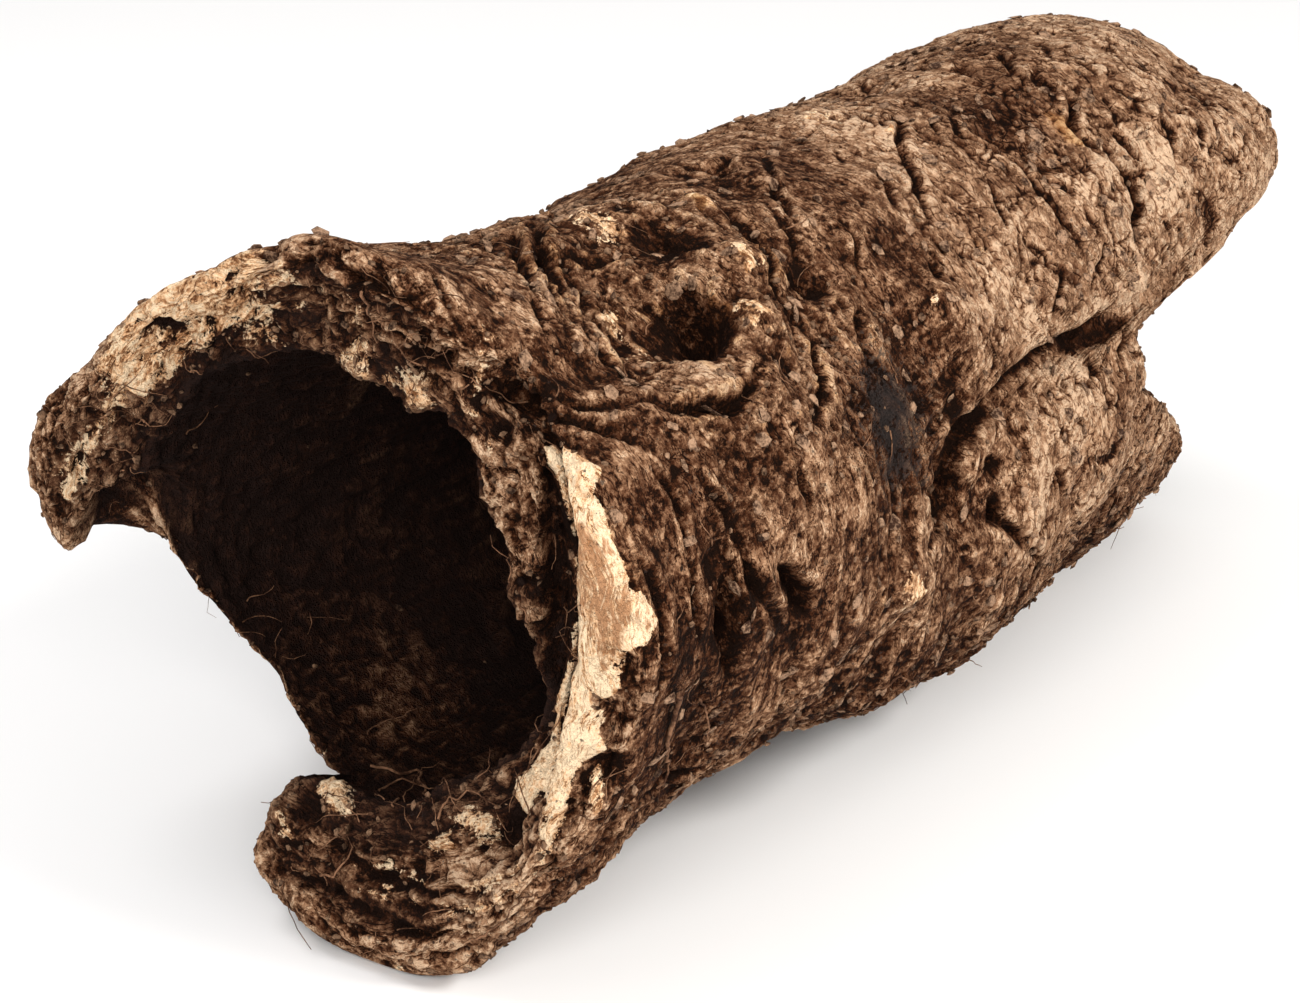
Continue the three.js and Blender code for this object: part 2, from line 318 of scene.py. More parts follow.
def make_dense():
    """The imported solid's surface as a smooth dense mesh of quads, with each face's piece."""
    mesh = bpy.data.meshes.new("dense")
    made = bmesh.new()
    made.from_mesh(cad.data)
    bmesh.ops.remove_doubles(made, verts=made.verts, dist=1e-6)
    bmesh.ops.join_triangles(
        made, faces=made.faces, angle_face_threshold=math.pi, angle_shape_threshold=math.pi
    )
    made.to_mesh(mesh)
    made.free()
    dense = added("dense", mesh)
    for name in PIECES:
        mesh.materials.append(bpy.data.materials.new(name))
    centres = read(mesh.polygons, "center", np.float32, 3)
    facing = read(mesh.polygons, "normal", np.float32, 3)
    s, _, _, outward = round_the_axis(centres / MM)
    out = (facing * outward).sum(1)
    piece = np.select([s < KNOT_FROM, s < WAIST_FROM, s < TRUNK_FROM], [MOUTH, KNOT, WAIST], TRUNK)
    piece[(facing[:, 0] > 0.6) & (s > 150)] = TRUNK
    piece[(out < -0.5) & (s > 26)] = HOLLOW
    mesh.polygons.foreach_set("material_index", piece.astype(np.int32))
    rounder = dense.modifiers.new("rounder", "SUBSURF")
    rounder.levels = LEVELS
    rounder.render_levels = LEVELS
    graph = bpy.context.evaluated_depsgraph_get()
    result = dense.evaluated_get(graph).to_mesh()
    arrays = mesh_arrays(result)
    bpy.data.objects.remove(dense)
    for name in PIECES:
        bpy.data.materials.remove(bpy.data.materials[name])
    return arrays


base, quads, piece_of = make_dense()
base_normals = vertex_normals(base, quads)
find = surface_finder(base, quads)
s, a, r, outward = round_the_axis(base)
out = (base_normals * outward).sum(1)
pixel_x, pixel_y, depth = to_pixels(base)


def seen_from_camera():
    """1 where the camera sees the surface, and 0 behind it."""
    cell = 3.0
    columns = 450
    rows = 350
    column = np.clip(pixel_x / cell, 0, columns - 1).astype(int)
    row = np.clip(pixel_y / cell, 0, rows - 1).astype(int)
    nearest = np.full((columns, rows), FAR)
    np.minimum.at(nearest, (column, row), depth)
    in_front = smooth(nearest[column, row] - depth, -9, -4)
    return in_front * smooth(base_normals @ CAMERA_BACK, -0.05, 0.15)


seen = seen_from_camera()
wobble = np.stack([noise(base, 6.0, k) for k in (1.1, 2.2, 3.3)], 1)
jagged = np.stack([noise(base, 2.6, k) for k in (7.1, 8.2, 9.3)], 1)
warped = base + 1.1 * wobble


def near_line(points, reach):
    """Vertices within reach of a line on the surface, their distance to it and how far along it they are."""
    low = np.min(points, 0) - reach
    high = np.max(points, 0) + reach
    close = np.flatnonzero(((warped > low) & (warped < high)).all(1))
    p = warped[close]
    least = np.full(len(close), FAR)
    along = np.zeros(len(close))
    spans = len(points) - 1
    for k in range(spans):
        step = points[k + 1] - points[k]
        t = np.clip(((p - points[k]) @ step) / (step @ step), 0, 1)
        d = np.linalg.norm(p - points[k] - t[:, None] * step, axis=1)
        better = d < least
        least = np.where(better, d, least)
        along = np.where(better, (k + t) / spans, along)
    return close, least, along


# What the photograph shows, as pixels of it: cracks and folds with a width and a depth in millimetres

CRACKS = (
    (((1065, 93), (1073, 100), (1077, 115), (1073, 124), (1081, 133), (1105, 157)), 1.0, 3.0),
    (((1107, 143), (1117, 159), (1131, 182), (1141, 208), (1140, 238)), 1.5, 4.5),
    (((1103, 123), (1117, 133), (1133, 147), (1143, 158)), 0.9, 2.4),
    (((949, 113), (963, 133), (988, 143), (1000, 153), (1018, 163)), 1.0, 2.6),
    (((1018, 163), (1040, 186), (1057, 206), (1085, 250)), 1.5, 3.0),
    (((1033, 66), (1040, 78), (1057, 92)), 1.0, 2.4), (((997, 48), (1008, 60), (1015, 72)), 0.9, 2.0),
    (((990, 179), (1000, 196), (1006, 226)), 1.0, 2.4), (((876, 167), (888, 179), (897, 203)), 1.3, 2.6),
    (((976, 262), (986, 277), (994, 307)), 0.9, 2.4), (((935, 258), (943, 281)), 1.3, 2.6),
    (((1057, 311), (1063, 281), (1069, 268)), 0.8, 1.8),
    (((1085, 206), (1096, 220), (1106, 232)), 0.8, 1.6), (((925, 112), (934, 122), (946, 140)), 0.8, 1.8),
    (((1125, 60), (1140, 72), (1160, 82)), 0.8, 2.0), (((1165, 48), (1180, 66), (1205, 84)), 1.0, 2.4),
    (((1160, 110), (1172, 132), (1176, 158)), 0.8, 1.8),
    (((1188, 104), (1202, 126), (1206, 150)), 0.8, 1.8),
    (((1110, 84), (1130, 96), (1152, 100)), 0.8, 1.6),
    (((818, 330), (815, 360), (822, 392), (817, 420)), 1.2, 3.0),
    (((742, 395), (755, 380), (762, 358)), 0.9, 1.8),
    (((700, 470), (712, 492), (728, 520), (745, 552), (750, 590)), 1.0, 2.6),
    (((655, 470), (672, 492), (684, 520), (690, 550)), 1.0, 2.8),
    (((722, 585), (727, 620), (730, 680)), 1.8, 5.0), (((745, 560), (760, 590), (775, 622)), 1.4, 3.6),
    (((780, 565), (794, 590), (806, 620)), 2.0, 5.0), (((690, 560), (700, 600), (702, 640)), 1.2, 2.8),
    (((640, 560), (662, 600), (668, 650), (660, 700)), 1.4, 3.4),
    (((795, 468), (806, 488), (810, 512)), 1.2, 2.8), (((890, 470), (897, 500), (892, 540)), 0.9, 1.6),
    (((925, 480), (935, 520), (930, 562)), 1.6, 3.4), (((990, 500), (1015, 530), (1040, 560)), 1.4, 3.2),
    (((1085, 358), (1100, 372), (1110, 392), (1112, 420)), 1.4, 3.0),
    (((1000, 385), (1040, 355), (1085, 333), (1130, 316)), 2.2, 4.5),
    (((945, 470), (965, 430), (1000, 385)), 2.4, 5.0),
    (((340, 262), (358, 285), (366, 320), (372, 352)), 1.2, 3.2),
    (((372, 262), (385, 290), (398, 320), (404, 345)), 0.9, 2.0),
    (((398, 350), (418, 352), (440, 362), (470, 380)), 1.2, 2.8),
    (((528, 222), (545, 250), (566, 285), (580, 325)), 1.2, 2.6),
    (((548, 232), (566, 262), (582, 300), (590, 336)), 1.0, 2.0),
    (((505, 235), (528, 280), (540, 320), (546, 352)), 0.8, 1.6),
    (((430, 270), (452, 300), (462, 330)), 0.8, 1.6),
    (((480, 395), (530, 400), (580, 404), (630, 398)), 1.6, 3.2),
    (((560, 250), (600, 262), (625, 250)), 0.9, 2.0),
    (((720, 208), (750, 232), (768, 268), (780, 300)), 1.4, 3.0),
    (((762, 205), (790, 230), (802, 262)), 1.0, 2.2), (((845, 110), (870, 120), (905, 116)), 1.0, 2.0),
    (((640, 190), (670, 196), (700, 190)), 1.0, 2.0),
    (((655, 160), (690, 168), (725, 160), (765, 142)), 0.9, 1.8),
    (((840, 215), (858, 240), (862, 270)), 0.9, 1.8), (((1130, 330), (1122, 352), (1128, 380)), 1.0, 2.0),
    (((620, 830), (640, 800), (668, 780), (700, 766)), 1.2, 2.6),
    (((300, 870), (350, 905), (400, 930), (450, 940)), 1.4, 2.6),
    (((330, 850), (370, 872), (420, 890), (470, 890)), 1.1, 2.2),
    (((498, 583), (520, 580), (545, 577)), 1.2, 4.0), (((500, 624), (520, 622), (540, 626)), 0.9, 2.4),
    (((578, 494), (592, 498), (606, 508)), 0.6, 1.6),
    (((612, 600), (622, 612), (640, 628), (652, 634)), 0.45, 1.0),
    (((600, 640), (614, 648), (630, 652)), 0.5, 1.4),
    (((310, 260), (326, 290), (340, 322), (348, 352)), 1.0, 2.2),
    (((518, 210), (536, 236), (548, 268), (560, 300), (574, 334)), 1.4, 3.0),
    (((495, 215), (512, 240), (526, 272), (536, 306)), 1.1, 2.2),
    (((640, 400), (690, 408), (730, 400), (770, 380)), 1.6, 3.2),
    (((520, 420), (560, 415), (600, 425), (640, 440)), 1.2, 2.4),
    (((760, 150), (776, 190), (800, 230)), 1.1, 2.4),
    (((905, 100), (900, 140), (920, 180), (930, 220)), 1.3, 2.6),
    (((860, 300), (866, 340), (880, 370)), 1.2, 2.4),
)

# Light streaks: a line of pixels, a width in millimetres, and how pale it is
STREAKS = (
    (((560, 800), (548, 850), (524, 886), (486, 910), (440, 914)), 2.3, 1.0),
    (((540, 850), (512, 872), (480, 888), (430, 892)), 1.6, 0.8),
    (((590, 776), (596, 795), (600, 812)), 1.3, 1.3),
    (((335, 858), (362, 868), (390, 880), (420, 884)), 2.0, 1.3),
    (((300, 866), (340, 884), (390, 900), (450, 910)), 1.3, 0.9),
    (((440, 836), (460, 820), (486, 822), (496, 842)), 2.6, 0.8), (((426, 844), (448, 842)), 1.8, 1.3),
    (((322, 790), (336, 788), (348, 812)), 3.0, 1.1), (((276, 796), (280, 820), (294, 842)), 2.2, 1.3),
    (((400, 970), (412, 986)), 2.4, 1.0), (((104, 372), (140, 315), (186, 282)), 2.8, 0.9),
    (((190, 280), (230, 258), (262, 256)), 2.0, 0.7),
    (((160, 380), (190, 345), (222, 325), (262, 318)), 1.6, 0.6),
    (((325, 285), (348, 290), (358, 312)), 1.8, 0.7), (((350, 345), (366, 350), (368, 372)), 2.2, 0.8),
    (((385, 380), (410, 386), (432, 402)), 1.8, 0.7), (((88, 452), (104, 420), (128, 392)), 2.6, 0.9),
    (((66, 500), (84, 462)), 2.2, 0.8), (((480, 442), (500, 460), (505, 490)), 1.4, 0.6),
    (((738, 246), (744, 262), (742, 280)), 1.5, 1.0), (((728, 312), (745, 304), (766, 318)), 1.7, 0.9),
    (((556, 222), (580, 218), (604, 222), (616, 236)), 1.6, 0.8), (((690, 196), (706, 208)), 1.5, 1.0),
    (((596, 315), (612, 322), (628, 344)), 1.4, 0.8), (((480, 300), (488, 330), (480, 352)), 1.6, 0.4),
    (((905, 570), (914, 592), (905, 612)), 2.4, 0.7),
)

# Stains of an orange brown, the same way
STAINS = (
    (((582, 528), (590, 560), (598, 600), (604, 632), (604, 664)), 2.6, 1.3),
    (((626, 606), (614, 640), (606, 664)), 1.6, 0.9), (((694, 200), (700, 210)), 1.6, 0.9),
    (((604, 312), (612, 330)), 1.4, 0.7), (((1048, 112), (1066, 124), (1080, 140)), 2.4, 0.8),
    (((128, 378), (150, 392)), 2.0, 0.7),
)

# Hollows (a negative height) and lumps: a pixel, a radius and a height in millimetres
BUMPS = (
    ((692, 320), 7.5, -14.0), ((655, 300), 10.0, -2.0), ((648, 228), 5.0, -5.5), ((682, 232), 6.5, -5.0),
    ((812, 276), 5.0, -6.0), ((720, 167), 2.4, -3.5), ((608, 352), 2.4, -3.6), ((640, 372), 3.2, -3.4),
    ((497, 430), 3.5, -3.0), ((868, 90), 5.0, -3.4), ((942, 495), 4.5, -6.0), ((998, 468), 3.4, -4.5),
    ((1002, 512), 3.6, -5.0), ((735, 405), 2.8, -3.5), ((856, 405), 2.2, -2.6), ((218, 282), 3.0, -5.0),
    ((168, 332), 3.6, -5.5), ((262, 250), 2.6, -4.5), ((186, 290), 1.8, -3.2), ((205, 322), 1.8, -3.2),
    ((242, 300), 2.4, -3.4), ((300, 268), 3.0, -3.4), ((590, 232), 7.0, 2.6), ((630, 238), 4.0, 2.0),
    ((748, 262), 4.5, 3.0), ((755, 318), 7.0, 2.6), ((700, 205), 4.0, 2.0), ((620, 325), 4.0, 2.0),
    ((910, 590), 8.0, 3.0), ((948, 305), 6.5, 2.2), ((820, 122), 7.0, 2.0), ((890, 128), 3.0, 1.6),
    ((356, 368), 4.5, 2.4), ((410, 398), 5.0, 2.2), ((410, 982), 3.5, 1.6), ((498, 608), 3.0, 3.0),
    ((503, 643), 3.3, 3.0), ((525, 596), 4.0, 1.8), ((128, 520), 6.0, -6.0), ((150, 500), 5.0, -4.0),
    ((75, 540), 5.0, 2.5), ((305, 808), 3.6, -6.0), ((334, 800), 5.0, 3.0), ((282, 815), 5.0, 2.0),
    ((330, 848), 3.4, -3.5), ((508, 826), 4.6, -5.0), ((606, 775), 4.0, -5.0), ((541, 792), 2.2, -2.0),
    ((1255, 112), 9.0, 2.6), ((1195, 66), 6.0, -1.4),
)

# Parts of the edge that reach further: a pixel, a radius and a move in millimetres
PULLS = (
    ((128, 524), 10.0, (0, 0, 10.0)), ((165, 522), 8.0, (0, 0, 5.0)), ((78, 540), 5.0, (0, 0, -3.0)),
)

# Colour patches: a pixel, a radius in millimetres, and how much of the colour there is
PALE_SPOTS = (
    ((590, 228), 7, 0.75), ((625, 238), 5, 0.6), ((742, 262), 4, 0.95), ((752, 316), 5, 0.75),
    ((618, 320), 4, 0.85), ((640, 352), 4, 0.6), ((695, 204), 3.5, 0.9), ((885, 130), 2.6, 1.6),
    ((820, 122), 6, 0.55), ((910, 585), 6, 0.65), ((935, 300), 3, 0.6), ((120, 375), 7, 0.9),
    ((150, 320), 10, 0.85), ((205, 300), 9, 0.85), ((240, 262), 8, 0.75), ((260, 340), 9, 0.55),
    ((175, 345), 7, 0.6), ((355, 362), 6, 0.75), ((412, 392), 7, 0.7), ((470, 400), 7, 0.5),
    ((60, 460), 8, 0.5), ((420, 950), 8, 0.35), ((320, 800), 7, 0.5), ((470, 842), 8, 0.45),
    ((400, 872), 7, 0.45), ((1085, 130), 8, 0.25), ((1150, 190), 12, 0.25), ((1210, 130), 12, 0.25),
    ((560, 790), 7, 0.5), ((600, 800), 5, 0.4), ((620, 420), 6, 0.35), ((480, 350), 6, 0.35),
)
# Dark patches: partly the bark's own colour, and in the knot hole, the rim's pits and other hollows painted
# shade
DARK_SPOTS = (
    ((1010, 110), 13, 0.7), ((1000, 180), 7, 0.45), ((895, 420), 13, 0.85), ((693, 322), 7, 1.3),
    ((668, 232), 8, 0.8), ((780, 262), 6, 0.5), ((868, 92), 9, 0.6), ((735, 455), 7, 0.4),
    ((830, 258), 8, 0.4), ((740, 640), 12, 0.5), ((660, 640), 10, 0.45), ((560, 330), 8, 0.4),
    ((800, 620), 9, 0.5), ((970, 500), 12, 0.5), ((900, 690), 10, 0.45), ((530, 360), 7, 0.35),
    ((330, 900), 16, 0.4), ((300, 840), 8, 0.3), ((560, 880), 12, 0.35), ((900, 250), 6, 0.3),
    ((960, 330), 5, 0.35), ((1160, 60), 8, 0.2), ((640, 395), 9, 0.45), ((400, 300), 7, 0.3),
    ((215, 284), 3.5, 0.6), ((166, 331), 4.5, 0.7), ((300, 300), 6, 0.5), ((262, 300), 4, 0.4),
    ((132, 350), 3, 0.4), ((262, 250), 3, 0.5), ((330, 262), 6, 0.5), ((110, 420), 4, 0.3),
)
RUST_SPOTS = (
    ((1060, 120), 5, 0.7), ((1075, 135), 4, 0.6), ((985, 245), 4, 0.6), ((695, 203), 4, 0.8),
    ((610, 318), 4, 0.6), ((596, 580), 9, 0.9), ((610, 620), 6, 0.8), ((590, 540), 5, 0.6),
    ((400, 745), 22, 0.3), ((140, 385), 5, 0.6), ((940, 300), 3, 0.6), ((300, 330), 8, 0.4),
    ((430, 380), 5, 0.4), ((880, 600), 5, 0.4), ((1015, 250), 4, 0.4),
)

# Broad lighter and darker parts, partly the bark's own tone and partly painted light and shade: a pixel, a
# radius in millimetres, and how much lighter
SHADES = (
    ((1160, 170), 26, 0.13), ((1020, 100), 24, -0.20), ((700, 655), 28, -0.26), ((1080, 430), 22, 0.08),
    ((610, 285), 11, 0.12), ((480, 880), 12, 0.12), ((1000, 40), 20, -0.10), ((440, 300), 9, 0.08),
    ((360, 900), 25, 0.12), ((600, 270), 14, -0.05), ((790, 190), 24, -0.06), ((980, 270), 26, 0.04),
    ((820, 640), 22, -0.10), ((400, 720), 26, 0.15), ((620, 860), 14, -0.05), ((400, 950), 20, -0.12),
    ((470, 850), 12, 0.10), ((75, 470), 14, 0.12), ((480, 500), 10, 0.10),
    ((510, 668), 5, -0.3), ((200, 360), 6, -0.1), ((460, 745), 12, -0.15), ((530, 300), 7, -0.08),
)

# Outlines in the photograph's pixels: the pale broken face beside the mouth, the dark seam behind the flap
# of the inner layer, the flap, the worn cream rim and the dark inner band of the lip
PALE_FACE = (
    (546, 446), (575, 455), (599, 470), (590, 490), (603, 510), (612, 540), (626, 560), (631, 590),
    (642, 596), (655, 622), (645, 645), (627, 653), (622, 668), (618, 690), (602, 698), (590, 690),
    (597, 718), (602, 750), (598, 760), (578, 764), (568, 790), (562, 820), (548, 846), (538, 838),
    (546, 818), (548, 800), (540, 786), (528, 800), (526, 818), (514, 812), (510, 790), (512, 780),
    (532, 762), (550, 744), (556, 704), (568, 672), (576, 640), (577, 595), (576, 552), (572, 525),
    (566, 500), (560, 474), (548, 463),
)
# The seam is cut in as a groove and its dark colour is painted shade
SEAM = (
    (546, 466), (556, 474), (560, 500), (566, 525), (570, 552), (571, 595), (570, 640), (563, 670),
    (549, 702), (531, 737), (505, 760), (480, 775), (500, 745), (522, 712), (535, 680), (543, 640),
    (545, 600), (542, 575), (540, 540), (540, 500),
)
FLAP = (
    (456, 450), (470, 438), (540, 434), (546, 466), (540, 500), (540, 540), (542, 575), (500, 582),
    (484, 540), (474, 490),
)
CREAM_RIM = (
    (92, 372), (104, 335), (130, 304), (180, 276), (240, 250), (272, 254), (300, 285), (345, 298),
    (362, 330), (300, 316), (240, 322), (204, 344), (170, 372), (150, 392), (118, 392),
)
# The dark inner band is painted shade on the lip's inner face
DARK_BAND = (
    (100, 545), (106, 500), (122, 450), (150, 405), (175, 375), (206, 345), (250, 326), (300, 320),
    (345, 338), (350, 372), (300, 366), (250, 378), (214, 400), (190, 440), (160, 500), (130, 510),
)


def patches(spots):
    """How much of a colour there is at each vertex, from its patches."""
    amount = np.zeros(len(base))
    for (x, y), radius, strength in spots:
        centre = find(x, y)
        close = np.flatnonzero((np.abs(base - centre) < 2.6 * radius).all(1))
        d = np.linalg.norm(base[close] + 2.2 * wobble[close] - centre, axis=1) / radius
        amount[close] += strength * np.exp(-d * d)
    return amount * seen_soft


def along_lines(lines):
    """How much of a colour there is at each vertex, from its lines."""
    amount = np.zeros(len(base))
    for line, width, strength in lines:
        close, distance, along = near_line([find(x, y) for x, y in line], 3 * width)
        taper = 0.5 + 0.5 * np.sin(math.pi * along)
        amount[close] = np.maximum(amount[close], strength * np.exp(-((distance / (width * taper)) ** 2)))
    return amount * seen_soft


def inside_outline(outline, soft):
    """1 inside an outline of pixels and 0 outside, with an edge of the given softness in pixels."""
    x = pixel_x + 5 * wobble[:, 0]
    y = pixel_y + 5 * wobble[:, 1]
    inside = np.zeros(len(base), bool)
    least = np.full(len(base), FAR)
    for (x0, y0), (x1, y1) in zip(outline, outline[1:] + outline[:1]):
        crosses = ((y0 > y) != (y1 > y)) & (x < (x1 - x0) * (y - y0) / ((y1 - y0) or 1e-9) + x0)
        inside ^= crosses
        step = (x1 - x0, y1 - y0)
        t = np.clip(((x - x0) * step[0] + (y - y0) * step[1]) / (step[0] ** 2 + step[1] ** 2), 0, 1)
        least = np.minimum(least, np.hypot(x - x0 - t * step[0], y - y0 - t * step[1]))
    return smooth(np.where(inside, least, -least), -soft, soft)


# Relief, in millimetres outwards along the normal

seen_soft = blurred(seen, quads, 4)
lip = smooth(-base_normals[:, 0], 0.15, 0.6) * smooth(s, 70, 56) * smooth(np.abs(out), 0.97, 0.8)
lip = blurred(lip, quads, 3)
end = blurred(smooth(base_normals[:, 0], 0.35, 0.8) * smooth(s, 180, 200), quads, 3)
inner = blurred(smooth(out, -0.1, -0.5), quads, 3) * (1 - end)
inner *= 1 - 0.6 * lip
outer = np.clip(1 - inner - lip - end, 0, 1)


def angle_band(low, high, soft=14):
    """1 between two angles round the axis, and 0 outside them."""
    middle = (low + high) / 2
    half = (high - low) / 2
    away = np.abs((a - middle + 180) % 360 - 180)
    return smooth(away, half + soft, half - soft)


patch_noise = layers(base, 34.0, 5.0, 2)
trunk = smooth(s + 12 * patch_noise, 128, 165) * angle_band(-28, 125)
knotty = smooth(s, 22, 40) * smooth(s + 8 * patch_noise, 118, 92) * angle_band(20, 104, 9)
shoulder = smooth(s, 24, 44) * smooth(s, 165, 140) * angle_band(-26, 22, 9)
under = angle_band(196, 336, 12)
left = angle_band(118, 200, 12)

# Places measured along the bark's layers: along the hollow, out from its axis and round it
ROUND_MM = 55.0  # turns an angle round the axis into millimetres
bend = 3.0 * noise(base, 16.0, 60.0) + 1.6 * noise(base, 5.0, 61.0)
flow = np.stack([s + 2.0 * noise(base, 14.0, 59.0), r + bend, np.radians((a + 90) % 360) * ROUND_MM], 1)


def plates(points, size, shift, width):
    """1 in the cracks between plates of bark and 0 on them, each plate's own number and its slope."""
    nearest, second, owner, lean = cells(points, size, shift)
    return smooth(second - nearest, width, width * 0.25), owner - 0.5, lean


def creases(points, size, shift, width):
    """1 along thin wandering lines, and 0 away from them."""
    return smooth(np.abs(noise(points, size, shift)), width, 0.0)


def outer_relief():
    """Crust of the outside. Also gives where its fine cracks are and which plates are lighter."""
    wavy = base + 2.6 * np.stack([noise(base, 12.0, k) for k in (4.1, 5.2, 6.3)], 1)
    ragged = wavy + 1.1 * wobble + 0.7 * jagged
    big_crack, big, big_lean = plates(ragged, (7.5, 10.0, 10.0), 0.3, 0.11)
    big_crack *= smooth(noise(base, 10.0, 31.0), -0.2, 0.2)
    small_crack, small, small_lean = plates(ragged, (3.4, 4.6, 4.6), 10.3, 0.2)
    small_crack *= smooth(noise(base, 7.0, 34.0), -0.1, 0.25)
    across = creases(ragged, (3.6, 18.0, 18.0), 12.0, 0.12) * smooth(noise(base, 8.0, 32.0), 0.0, 0.3)
    along = creases(ragged, (12.0, 5.0, 5.0), 13.0, 0.10) * smooth(noise(base, 6.0, 33.0), 0.15, 0.4)
    folds = 1 - 2 * np.abs(noise(wavy, (10.0, 44.0, 44.0), 15.0))
    lumps = layers(wavy, 14.0, 20.0, 2)
    crumbs = layers(ragged, 3.6, 24.0, 2, 0.7)
    pit_near, _, pit_pick, _ = cells(ragged, 4.0, 40.0)
    pits = smooth(pit_near * 4.0, 1.2, 0.5) * (pit_pick < 0.22) * (1 - 0.8 * trunk)
    height = lumps * (0.8 - 0.35 * trunk)
    broad_crust = 0.15 + 0.35 * trunk + 0.7 * knotty + 0.3 * left + 0.6 * under
    height += (0.32 * big + 0.5 * big_lean) * broad_crust
    fine_crust = 0.5 + 0.1 * trunk + 1.0 * knotty + 0.3 * left + 1.2 * under
    height += (0.22 * small + 0.36 * small_lean) * fine_crust
    height -= big_crack * (0.1 + 0.7 * trunk + 0.3 * left)
    height -= small_crack * (0.1 + 0.1 * trunk + 0.3 * knotty)
    height -= across * (0.3 + 0.6 * trunk + 0.4 * left)
    height -= along * 0.4
    height += folds * (0.35 + 0.9 * shoulder + 0.5 * under + 0.3 * left + 0.6 * knotty)
    height += crumbs * (0.12 + 0.25 * knotty + 0.35 * under)
    height -= pits * (0.5 + 0.7 * knotty + 0.5 * under - 0.4 * trunk)
    marks = big_crack * (0.2 + 0.8 * trunk) + 0.4 * small_crack + 0.7 * across + 0.6 * along + 0.8 * pits
    return height - 0.7, np.clip(marks, 0, 1), 0.35 * big + 0.3 * small


def lip_relief():
    """Torn layers of the lip, which follow the outside round the mouth."""
    stack = noise(flow, (9.0, 1.9, 9.0), 66.0) + 0.6 * noise(flow, (5.0, 1.0, 5.0), 67.0)
    ragged = flow + 0.9 * wobble + 0.6 * jagged
    crack, own, lean = plates(ragged, (5.0, 3.4, 9.0), 62.0, 0.2)
    _, fine, fine_lean = plates(ragged, (2.6, 2.0, 3.6), 63.0, 0.2)
    pit_near, _, pit_pick, _ = cells(ragged, 5.6, 64.0)
    pits = smooth(pit_near * 5.6, 2.0, 1.0) * (pit_pick < 0.32)
    height = 0.9 * stack + 0.7 * own + 0.9 * lean + 0.25 * fine + 0.3 * fine_lean
    height += 0.9 * noise(base, 9.0, 65.0) - 1.6 * pits - 0.5 * crack
    marks = 0.9 * pits + 0.4 * smooth(-stack, 0.25, 0.6) + 0.5 * crack
    return height - 0.5, np.clip(marks, 0, 1), 0.6 * own + 0.3 * fine + 0.3 * np.clip(stack, -1, 1)


def inner_relief():
    """Fibres and folds of the hollow, along its axis."""
    strands = noise(base, (12.0, 1.9, 1.9), 70.0)
    folds = noise(base, (40.0, 9.0, 9.0), 71.0)
    crumbs = layers(base, 4.0, 72.0, 3, 0.6)
    return 0.5 * strands + 0.9 * folds + 0.9 * crumbs - 0.5, smooth(-strands, 0.1, 0.6) * 0.5


def end_relief():
    """The broken far edge."""
    stack = noise(base, (6.0, 2.2, 2.2), 80.0)
    return 0.5 * stack + 1.1 * layers(base, 6.0, 81.0, 3, 0.6) - 0.8, smooth(-stack, 0.2, 0.6) * 0.5


outer_height, outer_marks, outer_own = outer_relief()
lip_height, lip_marks, lip_own = lip_relief()
inner_height, inner_marks = inner_relief()
end_height, end_marks = end_relief()
front = seen_soft * smooth(s, 60, 48)
seam = inside_outline(SEAM, 4.0) * front
pale_face = inside_outline(PALE_FACE, 5.0) * front * (1 - seam)
flap = inside_outline(FLAP, 6.0) * front * (1 - seam)
cream_rim = inside_outline(CREAM_RIM, 8.0) * front
dark_band = inside_outline(DARK_BAND, 10.0) * front
height = outer * outer_height + lip * lip_height * (1 - 0.75 * pale_face)
height = height + inner * inner_height + end * end_height
marks = outer * outer_marks + lip * lip_marks + inner * inner_marks + end * end_marks
marks *= 1 - pale_face
splinters = noise(base, (14.0, 1.8, 5.0), 90.0)
height += pale_face * (0.4 * splinters + 0.6)
height -= 5.0 * seam

# Cracks and hollows are cut into the relief; deep says how far, and the colour gets painted shade from it
deep = 1.2 * seam
for line, width, cut in CRACKS:
    close, distance, along = near_line([find(x, y) for x, y in line], 4 * width)
    taper = np.sqrt(np.clip(np.sin(math.pi * np.clip(along, 0.02, 0.98)), 0, 1))
    dip = np.exp(-((distance / (width * (0.35 + 0.65 * taper))) ** 2)) * taper
    rim = np.exp(-(((distance - 2.2 * width) / width) ** 2)) * taper
    height[close] += -cut * dip + 0.18 * cut * rim
    deep[close] = np.maximum(deep[close], dip * min(1.0, cut / 2.4))
for (x, y), radius, rise in BUMPS:
    centre = find(x, y)
    close = np.flatnonzero((np.abs(base - centre) < 2.4 * radius).all(1))
    distance = np.linalg.norm(warped[close] - centre, axis=1) / radius
    height[close] += rise * np.exp(-(distance**2))
    deep[close] = np.maximum(deep[close], smooth(-rise * np.exp(-(distance**2)), 1.0, 5.0))

foot = smooth(base[:, 2], 3.5, 0.6)
height *= 1 - foot
skin = base + base_normals * height[:, None]
for (x, y), radius, move in PULLS:
    away = np.linalg.norm(base - find(x, y), axis=1) / radius
    skin += np.exp(-(away**2))[:, None] * np.array(move)
BOX_LOW = np.array(cad_box[0]) / MM
BOX_HIGH = np.array(cad_box[1]) / MM
skin = np.clip(skin, BOX_LOW, BOX_HIGH)
skin_normals = vertex_normals(skin, quads)


# What colours the surface: painted shade in hollows, cracks and folds, a painted highlight on ridges, and
# the bark's own tones and patches


def standing_out(rounds):
    """How far each vertex stands out of its neighbours' average, in millimetres."""
    mean = np.stack([blurred(skin[:, k], quads, rounds) for k in range(3)], 1)
    return ((skin - mean) * base_normals).sum(1)


